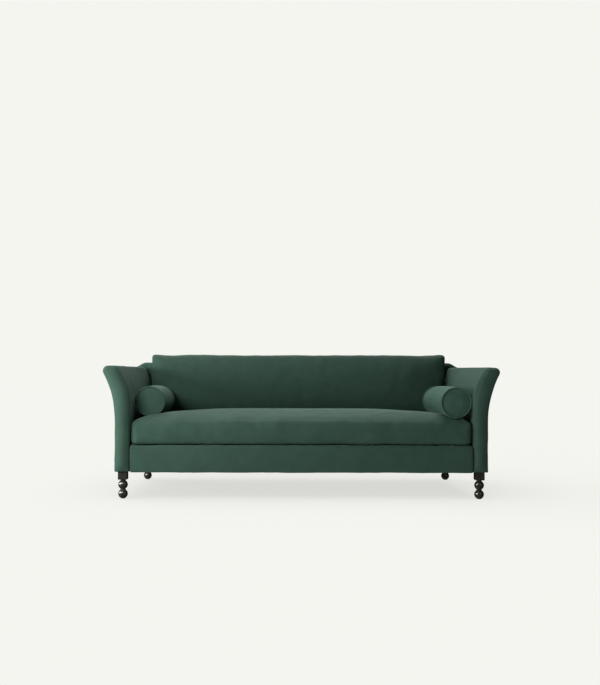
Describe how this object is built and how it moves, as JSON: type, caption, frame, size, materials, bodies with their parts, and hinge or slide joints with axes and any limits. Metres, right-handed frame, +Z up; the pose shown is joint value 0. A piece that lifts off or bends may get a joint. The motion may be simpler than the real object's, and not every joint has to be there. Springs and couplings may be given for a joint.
{
  "type": "high back sofa",
  "caption": "Upholstered sofa with outward-flared arms, a bench seat cushion, one long loose back cushion, round bolsters and turned legs of a block over balls.",
  "frame": {"origin": "on the floor under the middle of the sofa's width and depth", "axes": "+X along the width to a facing viewer's right, +Y from the front to the back, +Z up"},
  "size_m": [2.286, 0.965, 0.8507],
  "materials": {
    "green_fabric": "short velvet pile, soft sheen",
    "leg_wood": "dark stain under gloss lacquer",
    "frame_wood": "planed, unfinished",
    "zinc_steel": "zinc plated",
    "spring_steel": "bare spring wire",
    "glide_plastic": "moulded",
    "slider_metal": "dark enamel",
    "zip_tape": "woven tape",
    "dust_cloth": "thin non-woven cloth",
    "burlap": "open weave",
    "webbing": "flat woven strap",
    "deck_cloth": "plain decking cloth",
    "foam": "open-cell foam in a fibre wrap",
    "wadding": "loose fibre wadding"
  },
  "bodies": {
    "frame": {"arm_tack_rails": "frame_wood", "back_pad": "wadding", "back_tack_rail": "frame_wood", "back_top_rail": "frame_wood", "back_uprights": "frame_wood", "back_webbing": "webbing", "corner_blocks": "frame_wood", "deck_cover": "deck_cloth", "deck_pad": "wadding", "dust_cover": "dust_cloth", "frame_dowels": "frame_wood", "front_left_leg": "leg_wood", "front_rail_cover": "green_fabric", "front_rail_pad": "wadding", "front_right_leg": "leg_wood", "front_seat_rail": "frame_wood", "inside_back_cover": "green_fabric", "left_arm_cover": "green_fabric", "left_arm_pad": "wadding", "left_arm_rail": "frame_wood", "left_back_post": "frame_wood", "left_front_post": "frame_wood", "left_side_rail": "frame_wood", "leg_bolts": "zinc_steel", "leg_glides": "glide_plastic", "leg_inserts": "zinc_steel", "outside_back_cover": "green_fabric", "outside_back_pad": "wadding", "rear_left_leg": "leg_wood", "rear_right_leg": "leg_wood", "rear_seat_rail": "frame_wood", "right_arm_cover": "green_fabric", "right_arm_pad": "wadding", "right_arm_rail": "frame_wood", "right_back_post": "frame_wood", "right_front_post": "frame_wood", "right_side_rail": "frame_wood", "seat_springs": "spring_steel", "seat_stretchers": "frame_wood", "spring_clips": "spring_steel", "spring_cover": "burlap"},
    "seat_cushion": {"seat_cushion_cover": "green_fabric", "seat_cushion_core": "foam", "seat_zipper": "zip_tape"},
    "seat_zip_slider": {"seat_zip_slider": "slider_metal"},
    "back_cushion": {"back_cushion_cover": "green_fabric", "back_cushion_core": "foam", "back_zipper": "zip_tape"},
    "back_zip_slider": {"back_zip_slider": "slider_metal"},
    "left_bolster": {"left_bolster_cover": "green_fabric", "left_bolster_core": "foam", "left_bolster_piping": "green_fabric", "left_bolster_zipper": "zip_tape"},
    "left_bolster_zip_slider": {"left_bolster_zip_slider": "slider_metal"},
    "right_bolster": {"right_bolster_cover": "green_fabric", "right_bolster_core": "foam", "right_bolster_piping": "green_fabric", "right_bolster_zipper": "zip_tape"},
    "right_bolster_zip_slider": {"right_bolster_zip_slider": "slider_metal"}
  },
  "joints": [
    {"name": "seat_cushion_lift", "type": "slide", "parent": "frame", "child": "seat_cushion", "axis": [0, 0, 1], "range_m": [0, 0.6]},
    {"name": "back_cushion_lift", "type": "slide", "parent": "seat_cushion", "child": "back_cushion", "axis": [0, 0.1219, 0.9925], "range_m": [0, 0.45]},
    {"name": "left_bolster_lift", "type": "slide", "parent": "seat_cushion", "child": "left_bolster", "axis": [0, 0, 1], "range_m": [0, 0.4]},
    {"name": "right_bolster_lift", "type": "slide", "parent": "seat_cushion", "child": "right_bolster", "axis": [0, 0, 1], "range_m": [0, 0.4]},
    {"name": "seat_zip", "type": "slide", "parent": "seat_cushion", "child": "seat_zip_slider", "axis": [1, 0, 0], "range_m": [0, 1.51]},
    {"name": "back_zip", "type": "slide", "parent": "back_cushion", "child": "back_zip_slider", "axis": [1, 0, 0], "range_m": [0, 1.499]},
    {"name": "left_bolster_zip", "type": "slide", "parent": "left_bolster", "child": "left_bolster_zip_slider", "axis": [0, 1, 0], "range_m": [0, 0.245]},
    {"name": "right_bolster_zip", "type": "slide", "parent": "right_bolster", "child": "right_bolster_zip_slider", "axis": [-0.0262, 0.9997, 0.0032], "range_m": [0, 0.245]}
  ]
}
